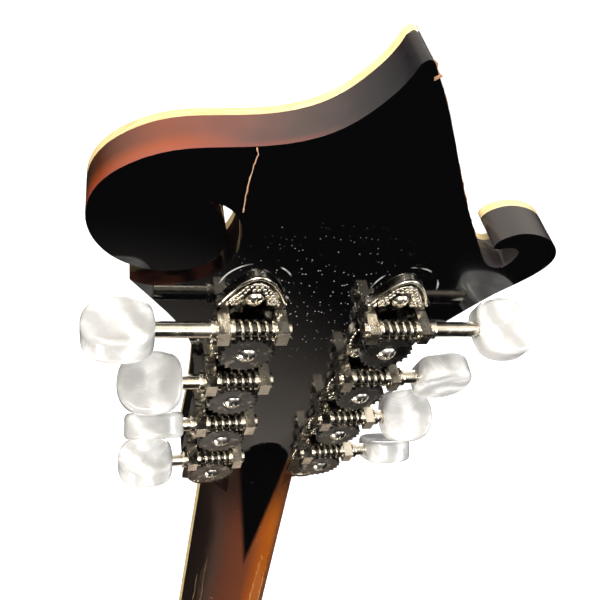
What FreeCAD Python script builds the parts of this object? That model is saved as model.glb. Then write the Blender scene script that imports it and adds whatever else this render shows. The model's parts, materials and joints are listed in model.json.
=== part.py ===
import FreeCAD, Part
import math
import os

# Mandolin with a scroll headstock, a carved arched body and open-geared strip tuners.
# Millimetres. The row frame: +Z runs up the neck to the headstock's tip, the strings face -Y,
# the bass side is -X and the treble side +X. The origin is the middle of the nut, on the plane
# where the fingerboard is glued to the neck.

V = FreeCAD.Vector
ORIGIN = V(0, 0, 0)
ALONG_X = V(1, 0, 0)
ALONG_Y = V(0, 1, 0)
ALONG_Z = V(0, 0, 1)
SIDES = {"bass": -1, "treble": 1}

# ---------------------------------------------------------------- driving dimensions
SCALE_LENGTH = 352.4
NUT_WIDTH = 33.3
NECK_TAPER = 0.027            # growth of the neck's width per millimetre from the nut
NECK_DEPTH = 17.0             # wood of the neck, without the fingerboard
NUT_LENGTH = 4.5              # the nut's size along the strings
JOINT_FRET = 15               # fret where the neck meets the body
FRET_COUNT = 21

HEAD_TILT = 15.0              # degrees that the headstock leans back
HEAD_WOOD = 9.4               # wood of the headstock
HEAD_OVERLAY = 2.2            # black veneer on its face
HEAD_BINDING = 1.4            # width of the binding round the veneer

TUNER_PITCH = 23.02           # from post to post on one strip
FIRST_WORM = 102.0            # from the nut to the shaft nearest the tip
ROW_OFFSET = 18.6             # from the headstock's middle to a row of posts
WORM_TO_POST = 8.9            # between the worm's and the gear's axes
SHAFT_HEIGHT = 5.5            # from the headstock's back to the worm's axis
PLATE_THICKNESS = 1.2
EAR_SPAN = 16.8               # outside to outside of a pair of ears
EAR_THICKNESS = 2.8
GEAR_TEETH = 22
WORM_RADIUS = 2.5
WORM_ROOT = 1.75
SHAFT_RADIUS = 1.95
RUNNING_GAP = 0.05            # radial clearance of a running fit
BUTTON_REACH = (22.8, 14.6, 12.2, 13.4)   # row middle to button, from the tip to the nut
BUTTON_TURNS = {"treble": (102, 66, -28, 110), "bass": (80, -4, 62, -38)}   # degrees at rest
BUTTON_LENGTH = 15.8
BUTTON_WIDTH = 16.2
BUTTON_THICKNESS = 7.2
POST_RADIUS = 3.0
POST_HEIGHT = 17.5            # post standing proud of the headstock's face

BODY_TILT = 6.0               # degrees between the neck and the body's rim
RIM_DROP = 7.0                # from the fingerboard's plane back to the body's front edge
PLATE_EDGE = 3.6              # thickness of the carved plates
RIB_HEIGHT = 37.0
RIB_THICKNESS = 2.2
BODY_BINDING = 1.6
TOP_ARCH = 15.0
BACK_ARCH = 13.0
BODY_END = 527.0              # from the nut to the tail

BOARD_THICKNESS = 5.0
STRING_GAP = 2.3              # between the two strings of a course
NUT_COURSES = 8.0             # between courses at the nut
BRIDGE_COURSES = 13.0         # between courses at the bridge


def fret_distance(number):
    """Distance from the nut to a fret."""
    return SCALE_LENGTH * (1 - 2 ** (-number / 12))


def neck_width(distance):
    """Width of the neck at a distance below the nut."""
    return NUT_WIDTH + NECK_TAPER * distance


JOINT = fret_distance(JOINT_FRET)
BRIDGE_AT = SCALE_LENGTH + 2.0
BODY_DEPTH = 2 * PLATE_EDGE + RIB_HEIGHT


# ---------------------------------------------------------------- small helpers
def flat(x, z):
    """A point of an outline drawn in the XZ plane."""
    return V(x, 0, z)


def spline(points):
    """A smooth edge through outline points."""
    curve = Part.BSplineCurve()
    curve.interpolate([flat(x, z) for x, z in points])
    return curve.toShape()


def line(a, b):
    return Part.makeLine(flat(*a), flat(*b))


def outline_face(edges):
    return Part.Face(Part.Wire(Part.__sortEdges__(edges)))


def redrawn(wire):
    """The wire's edges as plain smooth curves, end to end, for a face that other tools read well."""
    start = None
    edges = []
    for edge in wire.OrderedEdges:
        points = edge.discretize(max(4, int(edge.Length / 2.5)))
        if edge.Orientation == "Reversed":
            points.reverse()
        points[0] = start or points[0]
        start = points[-1]
        curve = Part.BSplineCurve()
        curve.interpolate(points)
        edges.append(curve.toShape())
    return Part.Face(Part.Wire(edges))


def inset(face, distance):
    """An outline moved inwards."""
    return redrawn(face.makeOffset2D(-distance).OuterWire)


def slab(face, low, high):
    """The outline's prism between two depths."""
    prism = face.extrude(V(0, high - low, 0))
    prism.translate(V(0, low, 0))
    return prism


def block(x, y, z):
    """A box from three (low, high) pairs."""
    return Part.makeBox(x[1] - x[0], y[1] - y[0], z[1] - z[0], V(x[0], y[0], z[0]))


def rod(radius, start, end):
    """A cylinder from one point to another."""
    return Part.makeCylinder(radius, (end - start).Length, start, end - start)


def mirrored(shape):
    return shape.mirror(ORIGIN, ALONG_X)


def on_headstock(shape):
    """From the flat headstock (face at y = 0, nut at z = 0) to the row frame."""
    turned = shape.copy()
    turned.rotate(ORIGIN, ALONG_X, -HEAD_TILT)
    return turned


def on_body(shape):
    """From the flat body (front rim at y = 0) to the row frame."""
    turned = shape.copy()
    turned.translate(V(0, RIM_DROP, 0))
    turned.rotate(V(0, RIM_DROP, -JOINT), ALONG_X, BODY_TILT)
    return turned


def solids(shapes):
    """One shape that holds separate solids."""
    return Part.makeCompound([s for shape in shapes for s in shape.Solids])


def save(name, shape):
    shape.exportStep("parts/" + name + ".step")


# ---------------------------------------------------------------- headstock
STRIP_FOOT = FIRST_WORM - 99.5    # flat z of the lower end of a tuner strip
WAIST = [(16.65, 0), (19.0, 5.0), (24.4, 11.0), (27.2, 20), (28.0, 45), (28.8, 72), (32.6, 91.9)]


def headstock_edges():
    """The headstock's outline: a large scroll on the treble side, a peak, and a small hook on the bass side."""
    half = NUT_WIDTH / 2
    treble = spline(WAIST + [(38.7, 102.0), (47.0, 113.0)])
    slot_outer = spline([(47.0, 113.0), (41.9, 111.1), (35.0, 112.2), (27.4, 117.3),
                         (24.6, 125.5), (26.2, 132.8), (32.5, 137.0)])
    scroll = spline([(32.5, 137.0), (28.7, 131.0), (27.8, 125.5), (30.1, 119.5), (35.5, 116.6),
                     (42.9, 116.5), (49.5, 119.3), (54.0, 124.5), (55.8, 131.0), (53.9, 139.0),
                     (48.0, 145.2), (40.0, 149.0), (30.0, 150.6), (20.0, 152.4), (11.0, 156.6),
                     (5.2, 162.6), (2.2, 167.6), (1.1, 171.0)])
    peak = spline([(1.1, 171.0), (-0.4, 172.1), (-2.0, 170.8)])
    blade = spline([(-2.0, 170.8), (-7.0, 164.2), (-14.0, 153.4), (-24.7, 137.0), (-33.3, 125.3),
                    (-37.4, 121.0), (-40.6, 120.3), (-43.2, 123.8)])
    hook = spline([(-43.2, 123.8), (-42.4, 126.8), (-39.8, 127.3), (-36.9, 126.0)])
    hook_top = spline([(-36.9, 126.0), (-35.6, 128.3), (-38.4, 131.4), (-44.5, 132.2), (-51.0, 129.4),
                       (-54.4, 124.0), (-52.6, 118.6), (-45.2, 110.4), (-38.7, 101.6)]
                      + [(-x, z) for x, z in reversed(WAIST)])
    return [treble, slot_outer, scroll, peak, blade, hook, hook_top, line((-half, 0), (half, 0))]


def post_places():
    """The side, number and flat (x, z) of every string post, from the tip to the nut."""
    for side, sign in SIDES.items():
        for number in range(4):
            z = FIRST_WORM - WORM_TO_POST - TUNER_PITCH * number
            yield side, number, sign * ROW_OFFSET, z


def neck_section(z, width, depth):
    """A D-shaped outline of the neck, flat towards the fingerboard."""
    half = width / 2
    shoulder = 0.16 * depth
    fullness = 0.86
    curve = Part.BSplineCurve()
    curve.interpolate([V(-half, shoulder, z), V(-half * fullness, 0.62 * depth, z), V(0, depth, z),
                       V(half * fullness, 0.62 * depth, z), V(half, shoulder, z)])
    edges = [curve.toShape(),
             Part.makeLine(V(half, shoulder, z), V(half, 0, z)),
             Part.makeLine(V(half, 0, z), V(-half, 0, z)),
             Part.makeLine(V(-half, 0, z), V(-half, shoulder, z))]
    return Part.Wire(edges)


HEEL_START = 138.0
HEEL_DEPTH = RIM_DROP + BODY_DEPTH
HEEL_NARROWING = 8.0


def neck_shaft():
    """The neck from inside the headstock to the foot of its heel at the body."""
    stations = [neck_section(26, NUT_WIDTH, NECK_DEPTH)]
    for step in range(6):
        distance = HEEL_START * step / 6
        stations.append(neck_section(-distance, neck_width(distance), NECK_DEPTH + 0.012 * distance))
    for step in range(11):
        share = step / 10
        distance = HEEL_START + (JOINT - HEEL_START) * share
        shaft = NECK_DEPTH + 0.012 * distance
        depth = shaft + (HEEL_DEPTH - shaft) * share ** 3
        width = neck_width(distance) - HEEL_NARROWING * share ** 2
        stations.append(neck_section(-distance, width, depth))
    return Part.makeLoft(stations, True)


def overlay_cut():
    """The space in front of the tilted headstock's face, up from the nut."""
    return on_headstock(block((-40, 40), (-30, 0), (0, 60)))


TRUSS_POCKET = ((-4.0, 4.0), (-3.0, 6.8), (3.0, 22.0))    # x, y, z in the flat headstock
TRUSS_ROD_RADIUS = 2.4
TRUSS_ROD_DEPTH = 5.0


def behind_headstock():
    """What the headstock leaves free: bores for the posts, and room behind it for the tuner strips."""
    bores = [rod(POST_RADIUS + 0.3, V(x, -1, z), V(x, HEAD_WOOD + 1, z)) for _, _, x, z in post_places()]
    for sign in SIDES.values():
        middle = sign * ROW_OFFSET
        reach = EAR_SPAN / 2 + 0.2
        bores.append(block((middle - reach, middle + reach), (HEAD_WOOD, HEAD_WOOD + 20), (STRIP_FOOT - 0.3, 60)))
    return Part.makeCompound([on_headstock(bore) for bore in bores])


def make_neck():
    head = on_headstock(slab(outline_face(headstock_edges()), 0, HEAD_WOOD))
    neck = head.fuse(neck_shaft().cut(overlay_cut())).removeSplitter()
    neck = neck.cut(behind_headstock()).cut(on_headstock(block(*TRUSS_POCKET)))
    tunnel = rod(TRUSS_ROD_RADIUS + 0.1, V(0, TRUSS_ROD_DEPTH, 20), V(0, TRUSS_ROD_DEPTH, -190))
    behind_joint = on_body(block((-60, 60), (-5, 60), (-JOINT - 30, -JOINT)))
    return neck.cut(tunnel).cut(behind_joint)


def inner_headstock():
    """The veneer's outline inside the binding, down to the nut."""
    return inset(outline_face(headstock_edges()), HEAD_BINDING)


def overlay_openings():
    holes = [rod(POST_RADIUS + 0.7, V(x, -5, z), V(x, 1, z)) for _, _, x, z in post_places()]
    holes.append(block(TRUSS_POCKET[0], (-5, 1), TRUSS_POCKET[2]))
    holes.append(block((-30, 30), (-5, 1), (-5, 0.8)))
    return Part.makeCompound(holes)


def make_overlay():
    return on_headstock(slab(inner_headstock(), -HEAD_OVERLAY, 0).cut(overlay_openings()))


def make_headstock_binding():
    outer = slab(outline_face(headstock_edges()), -HEAD_OVERLAY, 0)
    inner = slab(inner_headstock(), -HEAD_OVERLAY - 1, 1)
    ring = outer.cut(inner).cut(block((-30, 30), (-5, 1), (-5, 0.8)))
    return on_headstock(ring)


COVER_THICKNESS = 1.6
COVER_SCREW = 28.0            # flat z of the truss rod cover's screw
COVER_START = 7.0             # flat z of its end, clear of the nut


def make_truss_rod_cover():
    """A bell-shaped cover over the truss rod's pocket."""
    half = [(8.5, COVER_START), (8.8, 9), (7.0, 16), (4.6, 24), (3.4, 31), (0, 34)]
    right = spline(half)
    left = spline([(-x, z) for x, z in half])
    face = outline_face([right, left, line((-8.5, COVER_START), (8.5, COVER_START))])
    cover = slab(face, -HEAD_OVERLAY - COVER_THICKNESS, -HEAD_OVERLAY)
    return on_headstock(cover.cut(rod(0.95, V(0, -8, COVER_SCREW), V(0, 0, COVER_SCREW))))


def make_cover_screw():
    """The screw that holds the truss rod cover to the veneer."""
    z = COVER_SCREW
    top = -HEAD_OVERLAY - COVER_THICKNESS
    head = Part.makeCone(1.9, 1.5, 0.7, V(0, top, z), V(0, -1, 0))
    shank = rod(0.9, V(0, top, z), V(0, -HEAD_OVERLAY, z))
    slot = block((-2.5, 2.5), (top - 0.8, top - 0.4), (z - 0.2, z + 0.2))
    return on_headstock(head.fuse(shank).cut(slot))


def make_truss_rod():
    """The steel rod in the neck, with its threaded end in the headstock's pocket."""
    return rod(TRUSS_ROD_RADIUS, V(0, TRUSS_ROD_DEPTH, -4), V(0, TRUSS_ROD_DEPTH, -186)).fuse(
        rod(1.5, V(0, TRUSS_ROD_DEPTH, 12), V(0, TRUSS_ROD_DEPTH, -4)))


def hexagon(across, start, length, direction):
    """A hexagonal prism, across its flats."""
    radius = across / math.sqrt(3)
    corners = [V(radius * math.cos(math.radians(60 * k)), radius * math.sin(math.radians(60 * k)), 0)
               for k in range(7)]
    prism = Part.Face(Part.makePolygon(corners)).extrude(V(0, 0, length))
    prism.Placement = FreeCAD.Placement(start, FreeCAD.Rotation(ALONG_Z, direction))
    return prism


def make_truss_rod_nut():
    nut = hexagon(5.4, V(0, TRUSS_ROD_DEPTH, 6.5), 6.0, ALONG_Z)
    return nut.cut(rod(1.5 + RUNNING_GAP, V(0, TRUSS_ROD_DEPTH, 0), V(0, TRUSS_ROD_DEPTH, 20)))


# ---------------------------------------------------------------- tuners
GEAR_THICKNESS = 3.0
GEAR_PITCH_RADIUS = WORM_TO_POST - (WORM_RADIUS + WORM_ROOT) / 2
GEAR_TIP = WORM_TO_POST - WORM_ROOT - 0.15
GEAR_ROOT = WORM_TO_POST - WORM_RADIUS - 0.15
WORM_PITCH = 2 * math.pi * GEAR_PITCH_RADIUS / GEAR_TEETH
SHAFT_Y = HEAD_WOOD + SHAFT_HEIGHT
PLATE_TOP = HEAD_WOOD + PLATE_THICKNESS
EAR_TOP = HEAD_WOOD + 8.6
EAR_WIDTH = 4.6
EAR_INNER = EAR_SPAN / 2 - EAR_THICKNESS
END_PLAY = 0.3                # between a shaft's shoulders and the ears
WORM_HALF = EAR_INNER - END_PLAY
COLLAR_RADIUS = 2.6
COLLAR_WIDTH = 1.3
SCREW_ABOVE_WORM = 5.9        # from a worm to the mounting screw on its tip side
LAST_SCREW = 92.3             # from the first worm to the last mounting screw


def mounting_screws():
    """Flat z of the screws that hold a strip."""
    places = [FIRST_WORM + SCREW_ABOVE_WORM - TUNER_PITCH * k for k in range(4)]
    return places + [FIRST_WORM - LAST_SCREW]


def plate_outline():
    """Half of a strip's outline, as a closed face about x = 0: arched ends and a lobe beside each gear."""
    tip = FIRST_WORM + 14.3
    foot = STRIP_FOOT
    right = [(0, tip), (3.4, tip - 2.6), (5.2, tip - 6.0), (8.9, tip - 9.6)]
    side = [(8.9, tip - 9.6), (7.5, tip - 11.4)]
    edges = [spline(right), line(side[0], side[1])]
    last = side[1]
    for number in range(4):
        worm = FIRST_WORM - TUNER_PITCH * number
        gear = worm - WORM_TO_POST
        edges.append(line(last, (7.5, worm - 3.6)))
        lobe = [(7.5, worm - 3.6), (9.0, gear + 1.2), (9.0, gear - 2.2), (7.5, gear - 6.4)]
        edges.append(spline(lobe))
        last = (7.5, gear - 6.4)
    edges.append(line(last, (7.5, foot + 6.0)))
    edges.append(spline([(7.5, foot + 6.0), (5.0, foot + 4.4), (3.2, foot + 1.4), (0, foot)]))
    return edges


def make_plate(sign):
    """One strip of nickelled steel with four pairs of ears."""
    half = plate_outline()
    other = [edge.mirror(ORIGIN, ALONG_X) for edge in half]
    strip = slab(outline_face(half + other), HEAD_WOOD, PLATE_TOP)
    for number in range(4):
        worm = FIRST_WORM - TUNER_PITCH * number
        for end in (-1, 1):
            inner = end * EAR_INNER
            outer = end * EAR_SPAN / 2
            ear = block(sorted((inner, outer)), (HEAD_WOOD, EAR_TOP), (worm - EAR_WIDTH / 2, worm + EAR_WIDTH / 2))
            strip = strip.fuse(ear)
        bore = rod(SHAFT_RADIUS + RUNNING_GAP, V(-12, SHAFT_Y, worm), V(12, SHAFT_Y, worm))
        post = rod(POST_RADIUS + RUNNING_GAP, V(0, HEAD_WOOD - 1, worm - WORM_TO_POST),
                   V(0, PLATE_TOP + 1, worm - WORM_TO_POST))
        strip = strip.cut(bore).cut(post)
    holes = [rod(1.2, V(0, HEAD_WOOD - 1, z), V(0, PLATE_TOP + 1, z)) for z in mounting_screws()]
    strip = strip.cut(Part.makeCompound(holes)).removeSplitter()
    strip.translate(V(sign * ROW_OFFSET, 0, 0))
    return on_headstock(strip)


def make_plate_screws():
    """Ten dome-headed wood screws through the strips."""
    made = []
    for sign in SIDES.values():
        for z in mounting_screws():
            x = sign * ROW_OFFSET
            ball = Part.makeSphere(2.6, V(x, PLATE_TOP - 1.35, z))
            head = ball.common(block((x - 4, x + 4), (PLATE_TOP, PLATE_TOP + 3), (z - 4, z + 4)))
            shank = rod(1.15, V(x, HEAD_WOOD, z), V(x, PLATE_TOP, z))
            cross = block((x - 3, x + 3), (PLATE_TOP + 0.85, PLATE_TOP + 2), (z - 0.25, z + 0.25)).fuse(
                block((x - 0.25, x + 0.25), (PLATE_TOP + 0.85, PLATE_TOP + 2), (z - 3, z + 3)))
            made.append(on_headstock(head.fuse(shank).cut(cross)))
    return solids(made)


def worm_thread():
    """The raised helical thread of a worm, about the X axis, right-handed."""
    turns = 4
    length = turns * WORM_PITCH
    helix = Part.makeHelix(WORM_PITCH, length, WORM_ROOT)
    foot = 0.52
    crest = 0.26
    inside = WORM_ROOT - 0.2
    profile = Part.makePolygon([V(inside, 0, -foot), V(WORM_RADIUS, 0, -crest), V(WORM_RADIUS, 0, crest),
                                V(inside, 0, foot), V(inside, 0, -foot)])
    thread = Part.Wire(helix).makePipeShell([profile], True, True)
    thread.translate(V(0, 0, -length / 2))
    thread.rotate(ORIGIN, ALONG_Y, 90)
    return thread


def make_worm_shaft(number):
    """A worm with its shaft, about the X axis: button end towards +X, at the row's middle."""
    reach = BUTTON_REACH[number]
    end = EAR_SPAN / 2
    core = rod(WORM_ROOT, V(-WORM_HALF, 0, 0), V(WORM_HALF, 0, 0))
    lands = [rod(WORM_RADIUS, V(-WORM_HALF, 0, 0), V(-WORM_HALF + 0.9, 0, 0)),
             rod(WORM_RADIUS, V(WORM_HALF - 0.9, 0, 0), V(WORM_HALF, 0, 0))]
    journals = [rod(SHAFT_RADIUS, V(-end - 0.9, 0, 0), V(-WORM_HALF, 0, 0)),
                rod(SHAFT_RADIUS, V(WORM_HALF, 0, 0), V(reach + 3, 0, 0)),
                rod(COLLAR_RADIUS, V(end + END_PLAY, 0, 0), V(end + END_PLAY + COLLAR_WIDTH, 0, 0))]
    tang = rod(TANG_RADIUS, V(reach + 3, 0, 0), V(reach + 11, 0, 0))
    shaft = core.fuse(lands + journals + [tang, worm_thread()])
    return shaft.removeSplitter()


BUTTON_FILLET = 1.5
TANG_RADIUS = 1.3


def make_button(number):
    """A thick rounded button about the X axis, broadest in its outer half."""
    start = BUTTON_REACH[number]
    half = BUTTON_WIDTH / 2
    side = [(0.0, 0.44), (0.06, 0.72), (0.25, 0.95), (0.5, 1.0), (0.75, 0.9), (0.93, 0.6), (1.0, 0.2)]
    upper = [(start + BUTTON_LENGTH * a, half * b) for a, b in side]
    lower = [(x, -z) for x, z in reversed(upper)]
    curve = Part.BSplineCurve()
    curve.interpolate([flat(x, z) for x, z in upper + lower], PeriodicFlag=True)
    face = Part.Face(Part.Wire(curve.toShape()))
    button = slab(face, -BUTTON_THICKNESS / 2, BUTTON_THICKNESS / 2)
    button = button.makeFillet(BUTTON_FILLET, [e for e in button.Edges if e.Length > BUTTON_LENGTH])
    socket = rod(SHAFT_RADIUS, V(start - 1, 0, 0), V(start + 3, 0, 0))
    return button.cut(socket).cut(rod(TANG_RADIUS, V(start, 0, 0), V(start + 11, 0, 0)))


def place_key(shape, side, number, turn):
    """Turns a key about its own axis and puts it on its side's row."""
    sign = SIDES[side]
    placed = shape.copy()
    placed.rotate(ORIGIN, ALONG_X, sign * turn)
    if sign < 0:
        placed.rotate(ORIGIN, ALONG_Z, 180)
    placed.translate(V(sign * ROW_OFFSET, SHAFT_Y, FIRST_WORM - TUNER_PITCH * number))
    return on_headstock(placed)


def gear_wheel():
    """A brass gear about the Y axis through the origin, from y = 0 upwards."""
    disc = Part.makeCylinder(GEAR_ROOT, GEAR_THICKNESS, ORIGIN, ALONG_Y)
    teeth = []
    for k in range(GEAR_TEETH):
        foot = 0.48
        tip = 0.27
        tooth = Part.Face(Part.makePolygon([flat(-foot, GEAR_ROOT - 0.4), flat(foot, GEAR_ROOT - 0.4),
                                            flat(tip, GEAR_TIP), flat(-tip, GEAR_TIP),
                                            flat(-foot, GEAR_ROOT - 0.4)]))
        solid = tooth.extrude(V(0, GEAR_THICKNESS, 0))
        solid.rotate(ORIGIN, ALONG_Y, 360 * (k + 0.5) / GEAR_TEETH)
        teeth.append(solid)
    return disc.fuse(teeth)


GEAR_BASE = SHAFT_Y - GEAR_THICKNESS / 2
WRAP_Y = -HEAD_OVERLAY - 8.0  # flat y of the middle of a string's winding
WAIST_RADIUS = 2.3            # of a post, where the string is wound
WAIST_CURVE = 4.0


def make_string_post(x, z):
    """A string post with its gear and the screw that holds the gear."""
    post = rod(POST_RADIUS, V(0, -HEAD_OVERLAY - POST_HEIGHT, 0), V(0, GEAR_BASE, 0))
    waist = Part.makeTorus(WAIST_RADIUS + WAIST_CURVE, WAIST_CURVE, V(0, WRAP_Y, 0), ALONG_Y)
    hole = rod(0.9, V(-5, WRAP_Y - 3.4, 0), V(5, WRAP_Y - 3.4, 0))
    post = post.cut(waist).cut(hole)
    wheel = gear_wheel()
    wheel.translate(V(0, GEAR_BASE, 0))
    top = GEAR_BASE + GEAR_THICKNESS
    stub = rod(1.4, V(0, GEAR_BASE, 0), V(0, top, 0))
    wheel = wheel.cut(stub)
    post = post.fuse(stub)
    ball = Part.makeSphere(3.2, V(0, top - 1.9, 0))
    screw = ball.common(block((-4, 4), (top, top + 3), (-4, 4)))
    cross = block((-3, 3), (top + 0.8, top + 2), (-0.25, 0.25)).fuse(
        block((-0.25, 0.25), (top + 0.8, top + 2), (-3, 3)))
    parts = []
    for piece in (post, wheel, screw.cut(cross)):
        piece.translate(V(x, 0, z))
        parts.append(on_headstock(piece))
    return solids(parts)


def make_post_ferrules():
    """Eight press-in ferrules that carry the posts at the headstock's face."""
    made = []
    for _, _, x, z in post_places():
        body = rod(POST_RADIUS + 0.7, V(x, -HEAD_OVERLAY, z), V(x, 0, z))
        flange = rod(4.4, V(x, -HEAD_OVERLAY - 0.8, z), V(x, -HEAD_OVERLAY, z))
        bore = rod(POST_RADIUS + RUNNING_GAP, V(x, -8, z), V(x, 8, z))
        made.append(on_headstock(body.fuse(flange).cut(bore)))
    return solids(made)


# ---------------------------------------------------------------- nut, fingerboard and frets
BOARD_END = 253.0
BOARD_BINDING = 1.5
FRET_HEIGHT = 1.1
FRET_WIDTH = 1.6


def tapered_board(inset, front, back, start, end):
    """A tapered plank below the nut, narrower than the neck by the inset on each side."""
    near = neck_width(start) / 2 - inset
    far = neck_width(end) / 2 - inset
    corners = [flat(-near, -start), flat(near, -start), flat(far, -end), flat(-far, -end), flat(-near, -start)]
    return slab(Part.Face(Part.makePolygon(corners)), front, back)


def make_fingerboard():
    return tapered_board(BOARD_BINDING, -BOARD_THICKNESS, 0, 0, BOARD_END - BOARD_BINDING)


def make_fingerboard_binding():
    return tapered_board(0, -BOARD_THICKNESS, 0, 0, BOARD_END).cut(
        tapered_board(BOARD_BINDING, -BOARD_THICKNESS - 1, 1, 0, BOARD_END - BOARD_BINDING))


def make_frets():
    made = []
    for number in range(1, FRET_COUNT + 1):
        at = fret_distance(number)
        half = neck_width(at) / 2 - 0.6
        wire = rod(FRET_HEIGHT, V(-half, -BOARD_THICKNESS, -at), V(half, -BOARD_THICKNESS, -at))
        made.append(wire.common(block((-half, half), (-BOARD_THICKNESS - 3, -BOARD_THICKNESS),
                                      (-at - FRET_WIDTH / 2, -at + FRET_WIDTH / 2))))
    return solids(made)


def make_position_markers():
    """Pearl dots between the frets, standing a hair proud of the board."""
    dots = []
    for number in (5, 7, 10, 12, 15, 17):
        z = -(fret_distance(number) + fret_distance(number - 1)) / 2
        spread = (-5.0, 5.0) if number == 12 else (0.0,)
        for x in spread:
            dots.append(Part.makeCylinder(2.6, 0.2, V(x, -BOARD_THICKNESS - 0.2, z), ALONG_Y))
    return solids(dots)


NUT_TOP = -BOARD_THICKNESS - 2.6


def course_strings():
    """Course number, string number and the two x places (nut, bridge) of all eight strings."""
    for course in range(4):
        for string in range(2):
            shift = (string - 0.5) * STRING_GAP
            yield course, string, (course - 1.5) * NUT_COURSES + shift, (course - 1.5) * BRIDGE_COURSES + shift


STRING_RADII = (0.50, 0.36, 0.30, 0.25)


def make_nut():
    """A bone nut against the end of the fingerboard, with eight string slots."""
    half = NUT_WIDTH / 2
    nut = block((-half, half), (NUT_TOP, 0), (0, NUT_LENGTH))
    nut = nut.cut(on_headstock(block((-30, 30), (-HEAD_OVERLAY, 40), (0.8, 30))))
    nut = nut.cut(on_headstock(block((-30, 30), (0, 40), (-5, 30))))
    return nut.cut(string_clearance())


# ---------------------------------------------------------------- body
def body_outline():
    """The body's rim: a round lower bout, two points on the treble side and a scroll on the bass side."""
    heel = (neck_width(JOINT) - HEEL_NARROWING) / 2
    top = -JOINT
    cutaway = spline([(heel, top), (27, -222), (45, -232), (66, -226), (83, -209), (98, -190)])
    waist = spline([(98, -190), (99, -212), (89, -250), (89, -282), (103, -304), (132, -316)])
    bout = spline([(132, -316), (126, -340), (127, -385), (122, -430), (95, -488), (50, -519), (0, -BODY_END),
                   (-50, -519), (-95, -488), (-122, -430), (-127, -385), (-116, -330), (-97, -284),
                   (-93, -250), (-103, -222), (-104, -197), (-88, -174), (-64, -170), (-46, -186),
                   (-46, -206), (-60, -217), (-76, -209)])
    slot = spline([(-76, -209), (-72, -224), (-52, -237), (-31, -232), (-23, -216), (-heel, top)])
    return [cutaway, waist, bout, slot, line((-heel, top), (heel, top))]


def arch_rise(height, x, z):
    """Height of the carving above the rim at a point of the flat body."""
    reach = (x / 112) ** 2 + ((z + 378) / 146) ** 2
    return height * max(0.0, 1 - reach) ** 1.6


def arched(height, sign, thickness):
    """A carved sheet: a smooth hill over the lower bout, facing the sign's side."""
    rows = []
    for i in range(15):
        x = -140 + 20 * i
        across = [-540 + 20 * j for j in range(20)]
        rows.append([V(x, sign * arch_rise(height, x, z), z) for z in across])
    surface = Part.BSplineSurface()
    knots = [list(range(len(count) - 2)) for count in (rows, rows[0])]
    repeats = [[4] + [1] * (len(row) - 2) + [4] for row in knots]
    surface.buildFromPolesMultsKnots(rows, repeats[0], repeats[1], knots[0], knots[1], False, False, 3, 3)
    return surface.toShape().extrude(V(0, thickness, 0))


def f_hole(sign):
    """The cutter of one f-hole: an S-shaped slot between two round eyes."""
    stem = spline([(46, -309), (53, -305), (58, -312), (56, -336), (55, -352), (54, -368), (52, -390),
                   (58, -398), (66, -392)])
    cutter = slab(redrawn(Part.Wire(stem).makeOffset2D(2.4)), -30, 20)
    cutter = cutter.fuse([rod(3.9, V(46, -30, -312), V(46, 20, -312)), rod(4.8, V(66, -30, -388), V(66, 20, -388))])
    return cutter if sign > 0 else mirrored(cutter)


def rim_face():
    return outline_face(body_outline())


def make_top_plate():
    plate = arched(TOP_ARCH, -1, PLATE_EDGE).common(slab(inset(rim_face(), BODY_BINDING), -30, 20))
    return on_body(plate.cut(f_hole(1)).cut(f_hole(-1)))


def make_back_plate():
    plate = arched(BACK_ARCH, 1, PLATE_EDGE).common(slab(inset(rim_face(), BODY_BINDING), -30, 40))
    plate.translate(V(0, PLATE_EDGE + RIB_HEIGHT, 0))
    return on_body(plate)


def make_body_binding():
    outer = rim_face()
    inner = inset(outer, BODY_BINDING)
    rings = []
    for low in (0, PLATE_EDGE + RIB_HEIGHT):
        ring = slab(outer, low, low + PLATE_EDGE).cut(slab(inner, low - 1, low + PLATE_EDGE + 1))
        rings.append(on_body(ring))
    return solids(rings)


def rib_band(inset_outer, inset_inner, low, high):
    """A band that follows the rim between two insets."""
    face = rim_face()
    outer = face if inset_outer == 0 else inset(face, inset_outer)
    inner = inset(face, inset_inner)
    return slab(outer, low, high).cut(slab(inner, low - 1, high + 1))


def make_ribs():
    band = rib_band(0, RIB_THICKNESS, PLATE_EDGE, PLATE_EDGE + RIB_HEIGHT)
    return on_body(band.cut(end_pin_bore()))


BLOCK_LINE = -240.0           # the head block fills the body above this height
TAIL_LINE = -505.0
LINING_WIDTH = 4.5
LINING_HEIGHT = 8.0


def make_linings():
    """Strips that widen the glued edges of the ribs, front and back."""
    bands = []
    for low in (PLATE_EDGE, PLATE_EDGE + RIB_HEIGHT - LINING_HEIGHT):
        band = rib_band(RIB_THICKNESS, RIB_THICKNESS + LINING_WIDTH, low, low + LINING_HEIGHT)
        bands.append(on_body(band.common(block((-140, 140), (0, 60), (TAIL_LINE, BLOCK_LINE)))))
    return solids(bands)


def make_head_block():
    """The block inside the upper body: neck joint, scroll and treble point in one."""
    inside = slab(inset(rim_face(), RIB_THICKNESS), PLATE_EDGE, PLATE_EDGE + RIB_HEIGHT)
    return on_body(solids([inside.common(block((-140, 140), (0, 60), (BLOCK_LINE, 0)))]))


def end_pin_bore():
    return rod(END_PIN_SHANK, V(0, BODY_DEPTH / 2, -480), V(0, BODY_DEPTH / 2, -560))


def make_tail_block():
    inside = slab(inset(rim_face(), RIB_THICKNESS), PLATE_EDGE, PLATE_EDGE + RIB_HEIGHT)
    blank = inside.common(block((-140, 140), (0, 60), (-560, TAIL_LINE)))
    return on_body(blank.cut(end_pin_bore()))


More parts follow.
